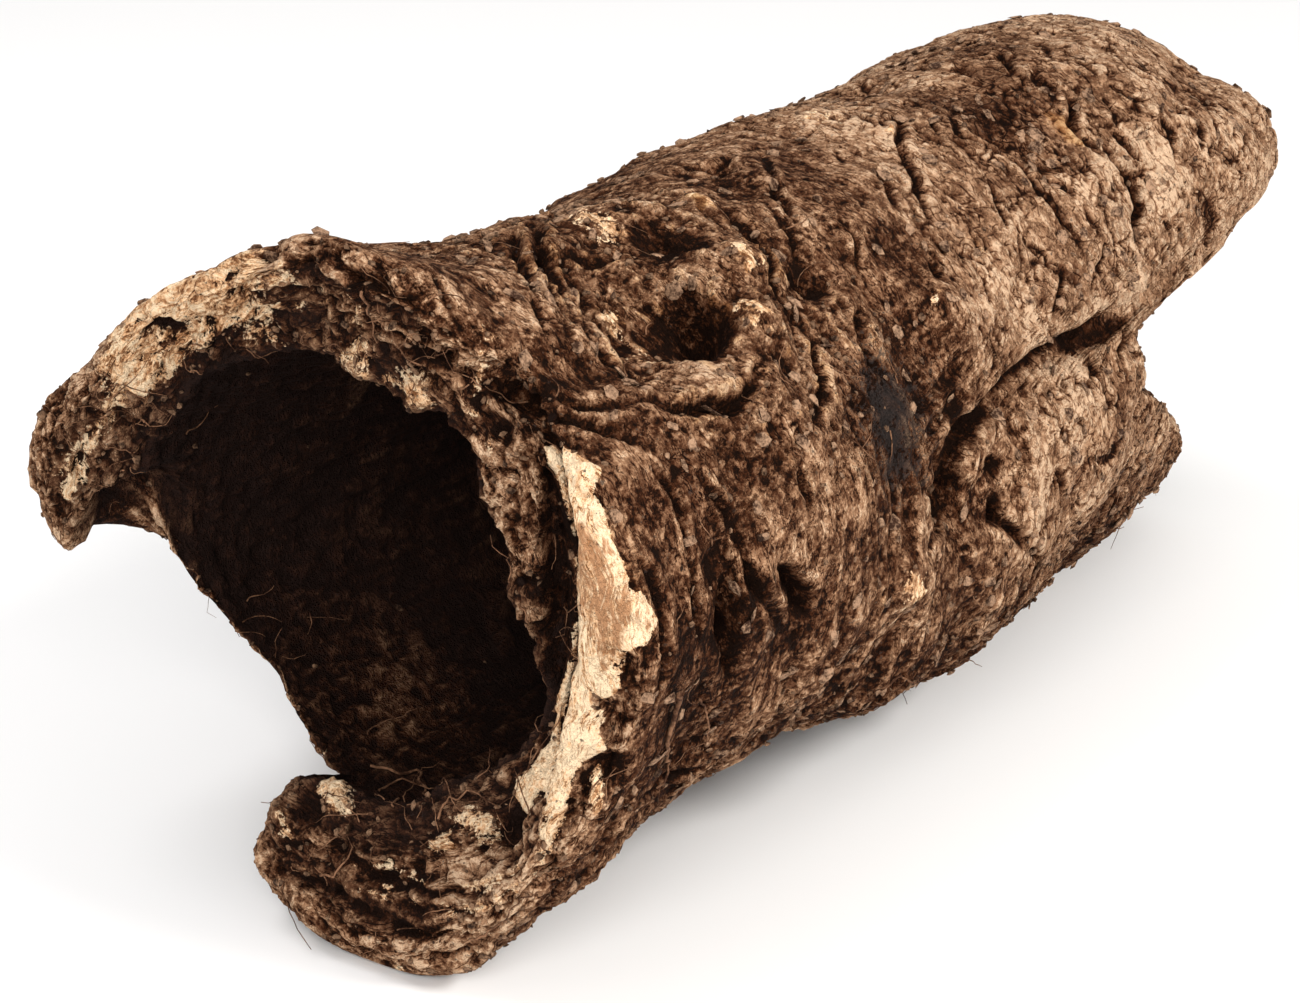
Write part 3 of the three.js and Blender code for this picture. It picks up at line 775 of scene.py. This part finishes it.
def sheltered(reach=20.0, cell=4.0, count=20):
    """How much of what each vertex faces is close to it: more in folds and furrows than on ridges."""
    boxes = np.floor(skin / cell).astype(int)
    _, first, group = np.unique(boxes, axis=0, return_index=True, return_inverse=True)
    lines = np.random.RandomState(3).normal(size=(count, 3))
    lines /= np.linalg.norm(lines, axis=1)[:, None]
    hits = np.zeros(len(first))
    for k, vertex in enumerate(first):
        normal = skin_normals[vertex]
        place = Vector(skin[vertex] + 1.5 * normal)
        for line in lines + normal * 1.05:
            hits[k] += skin_tree.ray_cast(place, Vector(line), reach)[0] is not None
    return blurred((hits / count)[group.ravel()], quads, 12)


skin_tree = BVHTree.FromPolygons(skin.tolist(), quads.tolist())
shelter = sheltered()
small_form = standing_out(6)
large_form = standing_out(70)
pale = 0.6 * patches(PALE_SPOTS) * (1 - pale_face) + 1.2 * pale_face + 0.4 * cream_rim
pale = pale + 0.62 * along_lines(STREAKS)
dark = patches(DARK_SPOTS)
rust_and_highlight = 0.7 * patches(RUST_SPOTS) + along_lines(STAINS)
cloud = layers(base, 26.0, 100.0, 3)
# The inside of the lip, towards the hollow, which gets painted shade
lip_inside = np.clip(lip * smooth(r, 60, 54) * (1 - flap) + dark_band, 0, 1)

tone = 0.38 + 0.18 * cloud + 0.22 * (outer * outer_own + lip * lip_own) + patches(SHADES)
# Painted highlight where the surface stands out and painted shade where it sinks in, at a small and a large
# size
tone += 0.12 * smooth(small_form, 0.0, 0.35) - 0.18 * smooth(-small_form, 0.0, 0.45)
tone += 0.16 * smooth(large_form, 0.0, 1.6) - 0.32 * smooth(-large_form, 0.1, 2.2)
# Lighter on the trunk and darker on the underside: partly the bark's own tone, partly painted light and
# painted shade
tone += outer * (0.25 * trunk + 0.02 * shoulder - 0.16 * under + 0.02 * knotty)
# Painted shade in the hollow, on the inside of the lip and on its dark inner band
tone += 0.05 * lip + 0.10 * flap + 0.2 * cream_rim - 0.26 * inner - 0.12 * lip_inside - 0.14 * dark_band
# Painted shade in cracks, pits, fibre grooves, the seam and other dug hollows; the dark patches are partly
# painted shade too
tone -= 0.30 * marks + 0.6 * deep + 0.36 * dark
# Painted shade in folds and furrows, as much as the surface there is sheltered
tone -= (1 - inner) * (0.55 * smooth(shelter, 0.10, 0.65) - 0.05)
# No pale colour in that painted shade
pale *= 1 - np.clip(deep * 1.3 + 0.4 * lip_marks * lip + 0.9 * dark, 0, 1)
# An orange painted highlight on small ridges of the knot, the lip and the shoulder, added to the rust and
# stains
rust_and_highlight += 0.45 * smooth(small_form, 0.05, 0.5) * (knotty + 0.4 * lip + 0.4 * shoulder)
mould_centre = find(895, 420)
mould = np.exp(-(np.linalg.norm(base + 3 * wobble - mould_centre, axis=1) / 14.0) ** 2) * seen_soft

# Painted shade over the hollow and the inside of the lip, lighter where light falls on the hollow's floor
# and where the bark is pale
HOLLOW_FLOOR = (((400, 720), 26, 1),)  # a patch like those above
painted_hollow_shade = (inner + 0.3 * lip_inside) * (1 - 0.55 * patches(HOLLOW_FLOOR) - pale)

ATTRIBUTES = {
    "tone": np.clip(tone, 0, 1),
    "pale": np.clip(pale, 0, 1),
    "rust_and_highlight": np.clip(rust_and_highlight, 0, 1),
    "mould": np.clip(mould, 0, 1),
    "inside": np.clip(painted_hollow_shade, 0, 1),
    "plates": np.clip(outer * (0.3 + 0.7 * trunk), 0, 1),
    "face": np.clip(pale_face, 0, 1),
    "flow": flow * MM,
}


# Materials


class Nodes:
    """Short calls that add and link a material's nodes."""

    def __init__(self, name):
        self.material = bpy.data.materials.new(name)
        self.material.use_nodes = True
        self.tree = self.material.node_tree
        self.shader = self.tree.nodes["Principled BSDF"]

    def link(self, value, socket):
        if isinstance(value, bpy.types.NodeSocket):
            self.tree.links.new(value, socket)
        else:
            socket.default_value = value

    def new(self, kind, vector=None, **values):
        """A node of a kind, with a vector linked in and numbers on its sockets."""
        node = self.tree.nodes.new("ShaderNode" + kind)
        if vector is not None:
            self.tree.links.new(vector, node.inputs["Vector"])
        for name, value in values.items():
            node.inputs[name].default_value = value
        return node

    def math(self, operation, a, b=0.0):
        node = self.new("Math")
        node.operation = operation
        self.link(a, node.inputs[0])
        self.link(b, node.inputs[1])
        return node.outputs[0]

    def add(self, *values):
        total = values[0]
        for value in values[1:]:
            total = self.math("ADD", total, value)
        return total

    def times(self, a, b):
        return self.math("MULTIPLY", a, b)

    def attribute(self, name, output="Fac"):
        node = self.new("Attribute")
        node.attribute_name = name
        return node.outputs[output]

    def place(self, stretch=(1, 1, 1), flow=False):
        """The place on the piece, or the place measured along the bark's layers."""
        source = self.attribute("flow", "Vector") if flow else self.new("TexCoord").outputs["Object"]
        return self.new("Mapping", source, Scale=stretch).outputs[0]

    def noise(self, size, detail, rough, stretch=(1, 1, 1), flow=False):
        """Noise about nought, with bumps of the given size in millimetres."""
        place = self.place(stretch, flow)
        node = self.new("TexNoise", place, Scale=1 / (size * MM), Detail=detail, Roughness=rough)
        return self.math("SUBTRACT", node.outputs[0], 0.5)

    def cells(self, size, warp, feature="F1"):
        """Each cell's own value about nought, or the distance to the edges, which wander by warp."""
        waves = self.new("TexNoise", self.place(), Scale=1 / (size * MM), Detail=1)
        shift = self.new("VectorMath")
        shift.operation = "MULTIPLY_ADD"
        self.tree.links.new(waves.outputs["Color"], shift.inputs[0])
        shift.inputs[1].default_value = (warp * 2 * MM,) * 3
        self.tree.links.new(self.place(), shift.inputs[2])
        node = self.new("TexVoronoi", shift.outputs[0], Scale=1 / (size * MM))
        node.feature = feature
        if feature == "F1":
            own = self.new("SeparateColor")
            self.tree.links.new(node.outputs["Color"], own.inputs[0])
            return self.math("SUBTRACT", own.outputs[0], 0.5)
        return node.outputs["Distance"]

    def step(self, value, low, high):
        node = self.new("MapRange")
        node.interpolation_type = "SMOOTHSTEP"
        self.link(value, node.inputs["Value"])
        node.inputs["From Min"].default_value = low
        node.inputs["From Max"].default_value = high
        return node.outputs[0]

    def ramp(self, value, stops):
        node = self.new("ValToRGB")
        marks = node.color_ramp.elements
        for mark, (at, colour) in zip(marks, (stops[0], stops[-1])):
            mark.position = at
            mark.color = (*colour, 1)
        for at, colour in stops[1:-1]:
            mark = marks.new(at)
            mark.color = (*colour, 1)
        self.link(value, node.inputs[0])
        return node.outputs[0]

    def mix(self, factor, a, b):
        node = self.new("Mix")
        node.data_type = "RGBA"
        self.link(factor, node.inputs[0])
        self.link(a, node.inputs[6])
        self.link(b if isinstance(b, bpy.types.NodeSocket) else (*b, 1), node.inputs[7])
        return node.outputs[2]

    def bump(self, height, distance):
        """Fine relief of a height times a distance in millimetres."""
        node = self.new("Bump", Strength=1.0, Distance=distance * MM)
        self.link(height, node.inputs["Height"])
        self.tree.links.new(node.outputs[0], self.shader.inputs["Normal"])


def bark_material():
    """Dry bark: fine grit, flecks, flakes and cracks over the tones and colours that the vertices carry."""
    n = Nodes("bark")
    plates_part, inside_part, face_part, rust_and_highlight_part = map(n.attribute, ("plates", "inside", "face", "rust_and_highlight"))
    grit = n.noise(0.9, 2, 0.7)
    flecks = n.noise(2.4, 5, 0.7)
    rings = n.noise(2.4, 4, 0.75, stretch=(1.3, 1.3, 0.45), flow=True)
    clouds = n.noise(12.0, 3, 0.6)
    flakes = n.cells(2.6, 1.5)
    chips = n.cells(1.3, 0.9)
    crisp = n.step(n.add(flecks, n.times(rings, 0.8)), -0.03, 0.03)
    scratches = n.math("ABSOLUTE", n.noise(3.0, 3, 0.65, stretch=(1.4, 1.4, 0.35), flow=True))
    scratches = n.times(n.step(scratches, 0.026, 0.006), n.step(clouds, -0.08, 0.04))
    crackle = n.step(n.math("ABSOLUTE", flecks), 0.018, 0.004)
    crackle = n.times(crackle, n.step(clouds, 0.06, -0.03))
    wide_net = n.step(n.cells(6.0, 4.0, "DISTANCE_TO_EDGE"), 0.055, 0.015)
    wide_net = n.times(n.times(wide_net, n.step(rings, -0.06, 0.04)), plates_part)
    cut = n.math("MAXIMUM", n.times(crackle, 0.6), n.times(scratches, 0.8))
    fine = n.add(
        n.times(grit, 0.8),
        n.times(flecks, 1.0),
        n.times(flakes, 0.24),
        n.times(chips, 0.2),
        n.times(crisp, 0.12),
    )
    calm = n.add(1.0, n.times(plates_part, -0.4), n.times(inside_part, -0.6))
    # The fine cracks and the net of cracks on the plates are darkened with painted shade, here and in the
    # pale colour below
    tone = n.add(
        n.attribute("tone"),
        n.times(fine, calm),
        n.times(n.times(rings, calm), 0.6),
        n.times(clouds, 0.7),
        n.times(n.math("MAXIMUM", cut, wide_net), -0.42),
    )
    colour = n.ramp(tone, (
        (0.02, (0.010, 0.004, 0.002)),
        (0.22, (0.046, 0.014, 0.005)),
        (0.40, (0.122, 0.053, 0.026)),
        (0.58, (0.250, 0.127, 0.067)),
        (0.76, (0.435, 0.248, 0.140)),
        (0.97, (0.670, 0.450, 0.290)),
    ))
    # Rust and stains, with the orange painted highlight on ridges that the vertices carry
    rust_and_highlight_there = n.step(n.add(rust_and_highlight_part, n.times(flecks, 1.6)), 0.2, 0.9)
    rust_and_highlight = n.ramp(tone, ((0.1, (0.04, 0.012, 0.004)), (0.5, (0.28, 0.11, 0.035)), (0.9, (0.60, 0.33, 0.13))))
    colour = n.mix(n.times(rust_and_highlight_there, 0.65), colour, rust_and_highlight)
    grain = n.noise(1.7, 3, 0.65, stretch=(1.0, 1.6, 0.3), flow=True)
    broad = n.noise(7.0, 2, 0.6, stretch=(0.6, 1.2, 0.6))
    ragged = n.add(n.times(flecks, 2.0), n.times(grit, 1.2), n.times(broad, 1.6), n.times(rings, 1.2))
    ragged = n.times(ragged, n.step(n.attribute("pale"), 0.02, 0.30))
    pale_there = n.step(n.add(n.attribute("pale"), ragged, n.times(face_part, 0.4)), 0.40, 0.58)
    streaks = n.add(n.times(grain, 2.4), n.times(grit, 1.2), n.times(broad, 1.6), n.times(flakes, 0.12))
    pale = n.ramp(n.add(0.60, streaks, n.times(cut, -0.5), n.times(face_part, 0.36)), (
        (0.05, (0.16, 0.060, 0.022)),
        (0.35, (0.50, 0.250, 0.115)),
        (0.62, (0.84, 0.520, 0.290)),
        (0.92, (0.96, 0.720, 0.470)),
    ))
    colour = n.mix(pale_there, colour, pale)
    stain = n.step(n.add(rust_and_highlight_part, n.times(grain, 3.4), n.times(broad, 1.4)), 0.50, 1.05)
    colour = n.mix(n.times(n.times(face_part, stain), 0.85), colour, (0.38, 0.155, 0.058))
    mould_there = n.step(n.add(n.attribute("mould"), n.times(flecks, 2.6), n.times(grit, 2.0)), 0.40, 0.70)
    colour = n.mix(n.times(mould_there, 0.8), colour, (0.030, 0.024, 0.022))
    # Painted shade in the hollow and on the inside of the lip
    colour = n.mix(n.times(inside_part, 0.72), colour, (0.020, 0.011, 0.009))
    n.link(colour, n.shader.inputs["Base Color"])
    n.link(n.add(0.85, n.times(grit, 0.4)), n.shader.inputs["Roughness"])
    n.shader.inputs["Specular IOR Level"].default_value = 0.04
    height = n.add(
        n.times(grit, 1.1),
        n.times(flecks, 1.8),
        n.times(rings, 0.6),
        n.times(cut, -0.5),
    )
    n.bump(height, 1.1)
    return n.material


# The pieces of the skin


def finish_piece(name, mesh, material):
    mesh.materials.append(material)
    piece = added(name, mesh)
    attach(piece, "root")
    return piece


def make_skin():
    """One object for each piece of the skin, with one material and with normals that meet at the seams."""
    material = bark_material()
    for number, name in enumerate(PIECES):
        faces = quads[piece_of == number]
        used, corners = np.unique(faces, return_inverse=True)
        corners = corners.reshape(-1, 4)
        mesh = bpy.data.meshes.new(name)
        mesh.vertices.add(len(used))
        mesh.vertices.foreach_set("co", (skin[used] * MM).astype(np.float32).ravel())
        mesh.loops.add(corners.size)
        mesh.loops.foreach_set("vertex_index", corners.astype(np.int32).ravel())
        mesh.polygons.add(len(corners))
        mesh.polygons.foreach_set("loop_start", np.arange(0, corners.size, 4, dtype=np.int32))
        mesh.update(calc_edges=True)
        mesh.polygons.foreach_set("use_smooth", np.ones(len(corners), bool))
        for key, values in ATTRIBUTES.items():
            wide = values.ndim > 1
            layer = mesh.attributes.new(key, "FLOAT_VECTOR" if wide else "FLOAT", "POINT")
            layer.data.foreach_set("vector" if wide else "value", values[used].astype(np.float32).ravel())
        mesh.normals_split_custom_set_from_vertices(skin_normals[used].tolist())
        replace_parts(finish_piece(name, mesh, material), "bark")


# Rootlets, hairs and crumbs that cling to the bark

# A line of the photograph's pixels and the thickness in millimetres of each rootlet that shows
ROOTLETS = (
    (((674, 690), (673, 716), (670, 742), (662, 764), (654, 786)), 1.3),
    (((372, 768), (395, 776), (420, 772), (446, 786), (462, 812)), 0.7),
    (((380, 792), (402, 778), (428, 790), (450, 776)), 0.6),
    (((392, 806), (410, 788), (424, 766), (440, 760)), 0.5),
    (((436, 820), (446, 800), (470, 792), (492, 800)), 0.6),
    (((362, 290), (372, 306), (370, 326), (376, 340)), 0.7),
    (((318, 880), (340, 868), (352, 850), (348, 830)), 0.6),
    (((470, 940), (500, 925), (520, 900), (545, 890)), 0.6), (((700, 700), (712, 722), (706, 745)), 0.6),
    (((560, 830), (580, 815), (604, 818)), 0.5), (((880, 690), (900, 676), (925, 680)), 0.6),
)
HAIRS = 460
CRUMBS = 2600
FLAKES = 1500
random = np.random.RandomState(5)


def tube(path, width, sides=5):
    """Vertices and faces of a thin round strand along a path, thinner towards its far end."""
    path = np.asarray(path)
    steps = np.gradient(path, axis=0)
    steps /= np.linalg.norm(steps, axis=1)[:, None]
    side = np.cross(steps, (0.31, 0.52, 0.80))
    side /= np.linalg.norm(side, axis=1)[:, None]
    other = np.cross(steps, side)
    thick = width / 2 * np.linspace(1.0, 0.35, len(path))
    turns = np.arange(sides) * 2 * math.pi / sides
    ring = side[:, None] * np.cos(turns)[None, :, None] + other[:, None] * np.sin(turns)[None, :, None]
    points = (path[:, None] + ring * thick[:, None, None]).reshape(-1, 3)
    faces = []
    for k in range(len(path) - 1):
        for j in range(sides):
            q = (j + 1) % sides
            faces.append((k * sides + j, k * sides + q, (k + 1) * sides + q, (k + 1) * sides + j))
    faces.append(tuple(range(sides))[::-1])
    faces.append(tuple((len(path) - 1) * sides + j for j in range(sides)))
    return points, faces


def lie_on_skin(point, lift):
    """The point at this height over the nearest place of the skin, and the skin's normal there."""
    place, normal, _, _ = skin_tree.find_nearest(Vector(point))
    return np.array(place) + np.array(normal) * lift, np.array(normal)


def finer(path, step):
    """A path with points about a step apart."""
    path = np.asarray(path, float)
    length = np.concatenate([[0], np.cumsum(np.linalg.norm(np.diff(path, axis=0), axis=1))])
    at = np.linspace(0, length[-1], max(4, int(length[-1] / step)))
    return np.stack([np.interp(at, length, path[:, k]) for k in range(3)], 1)


def rootlet_paths():
    for line, width in ROOTLETS:
        path = finer([find(x, y) for x, y in line], 1.2)
        bends = random.uniform(0, 9, 2)
        rises = 0.5 + 0.5 * np.sin(np.linspace(bends[0], bends[0] + 6, len(path)))
        swing = 0.7 * np.stack([noise(path, 5.0, bends[1] + k) for k in range(3)], 1)
        rows = zip(path + swing, rises)
        yield np.array([lie_on_skin(p, width * (0.2 + 1.2 * rise))[0] for p, rise in rows]), width


def hair_paths():
    """Short hairs, most of them where soil clings: the torn lip, the underside, the hollow and the knot."""
    chance = 0.8 * lip * (1 - pale_face) * (1 - cream_rim) + 0.12 * inner * smooth(s, 150, 60)
    chance += outer * (0.5 * under + 0.3 * knotty + 0.05)
    chance *= smooth(base[:, 2], 2.0, 6.0)
    starts = random.choice(len(base), HAIRS, p=chance / chance.sum())
    for k in starts:
        length = random.uniform(4, 13)
        width = random.uniform(0.22, 0.45)
        heading = random.normal(size=3)
        turn = random.normal(size=3) * 0.35
        point = skin[k]
        free = random.uniform() < 0.22 * (lip[k] + under[k])
        path = []
        for step in range(9):
            place, normal = lie_on_skin(point, 0.15)
            if free:
                place = place + normal * 0.05 * step**2
            path.append(place)
            heading = heading - normal * (heading @ normal)
            heading = heading / max(np.linalg.norm(heading), 1e-6) + turn
            point = place + heading * length / 9
        yield np.array(path), width


def joined(parts):
    """One list of vertices and one of faces, from those of several parts."""
    points = []
    faces = []
    for more, corners in parts:
        shift = len(points)
        points.extend(more.tolist())
        faces.extend([tuple(c + shift for c in face) for face in corners])
    return np.clip(np.array(points), BOX_LOW, BOX_HIGH), faces


def simple_mesh(name, parts, soft):
    """A mesh of loose parts, shaded smooth if soft."""
    points, faces = joined(parts)
    mesh = bpy.data.meshes.new(name)
    mesh.from_pydata((points * MM).tolist(), [], faces)
    mesh.polygons.foreach_set("use_smooth", [soft] * len(faces))
    mesh.update()
    return mesh


def crumb(centre, normal, size, flat=0.6):
    """A small broken crumb or flake, sunk a little into the skin."""
    points = CRUMB_POINTS * size * random.uniform(0.5, 1.3, 3)
    points = points * random.uniform(0.55, 1.2, (len(points), 1))
    turn = random.normal(size=(3, 3))
    turn[:, 0] = normal
    turn, _ = np.linalg.qr(turn)
    return centre + normal * size * 0.15 + points * np.array((flat, 1, 1)) @ turn.T, CRUMB_FACES


def crumb_parts():
    chance = 0.7 * lip * (1 - pale_face) * (1 - cream_rim) + 0.03 * inner
    chance += outer * (0.9 * under + 0.6 * knotty + 0.15)
    chance *= smooth(base[:, 2], 2.0, 6.0) * (1 - np.clip(deep, 0, 1))
    starts = random.choice(len(base), CRUMBS, p=chance / chance.sum())
    return [crumb(skin[k], skin_normals[k], random.uniform(0.4, 1.1)) for k in starts]


def flake_parts():
    """Flat flakes of crust that stand up a little from the outside."""
    chance = outer * (0.4 + 0.6 * knotty + 0.5 * under + 0.2 * trunk)
    chance *= smooth(base[:, 2], 2.0, 6.0) * (1 - np.clip(deep + mould, 0, 1)) * smooth(shelter, 0.5, 0.2)
    starts = random.choice(len(base), FLAKES, p=chance / chance.sum())
    parts = []
    for k in starts:
        lean = skin_normals[k] + random.normal(size=3) * 0.22
        parts.append(crumb(skin[k], lean / np.linalg.norm(lean), random.uniform(0.9, 2.3), 0.32))
    return parts


def loose_material(name, dark, light, size):
    n = Nodes(name)
    tone = n.add(0.5, n.times(n.noise(size, 4, 0.6), 2.4), n.times(n.noise(size / 5, 3, 0.6), 1.2))
    n.link(n.ramp(tone, ((0.2, dark), (0.8, light))), n.shader.inputs["Base Color"])
    n.shader.inputs["Roughness"].default_value = 0.85
    n.shader.inputs["Specular IOR Level"].default_value = 0.1
    n.bump(n.noise(0.6, 4, 0.6), 0.5)
    return n.material


def make_lump():
    """Points and faces of the ball that crumbs and flakes are made from."""
    lump = bmesh.new()
    bmesh.ops.create_icosphere(lump, subdivisions=1, radius=1.0)
    points = np.array([v.co[:] for v in lump.verts])
    faces = [tuple(v.index for v in face.verts) for face in lump.faces]
    lump.free()
    return points, faces


CRUMB_POINTS, CRUMB_FACES = make_lump()
make_skin()
root_material = loose_material("rootlets", (0.05, 0.02, 0.01), (0.26, 0.13, 0.07), 5.0)
crumb_material = loose_material("crumbs", (0.02, 0.009, 0.005), (0.22, 0.125, 0.072), 3.0)
rootlets = [tube(path, width) for path, width in rootlet_paths()]
finish_piece("rootlets", simple_mesh("rootlets", rootlets, True), root_material)
hairs = [tube(path, width, 4) for path, width in hair_paths()]
finish_piece("hairs", simple_mesh("hairs", hairs, True), root_material)
flake_material = loose_material("flakes", (0.035, 0.015, 0.008), (0.36, 0.215, 0.130), 2.4)
finish_piece("flakes", simple_mesh("flakes", flake_parts(), False), flake_material)
finish_piece("crumbs", simple_mesh("crumbs", crumb_parts(), False), crumb_material)
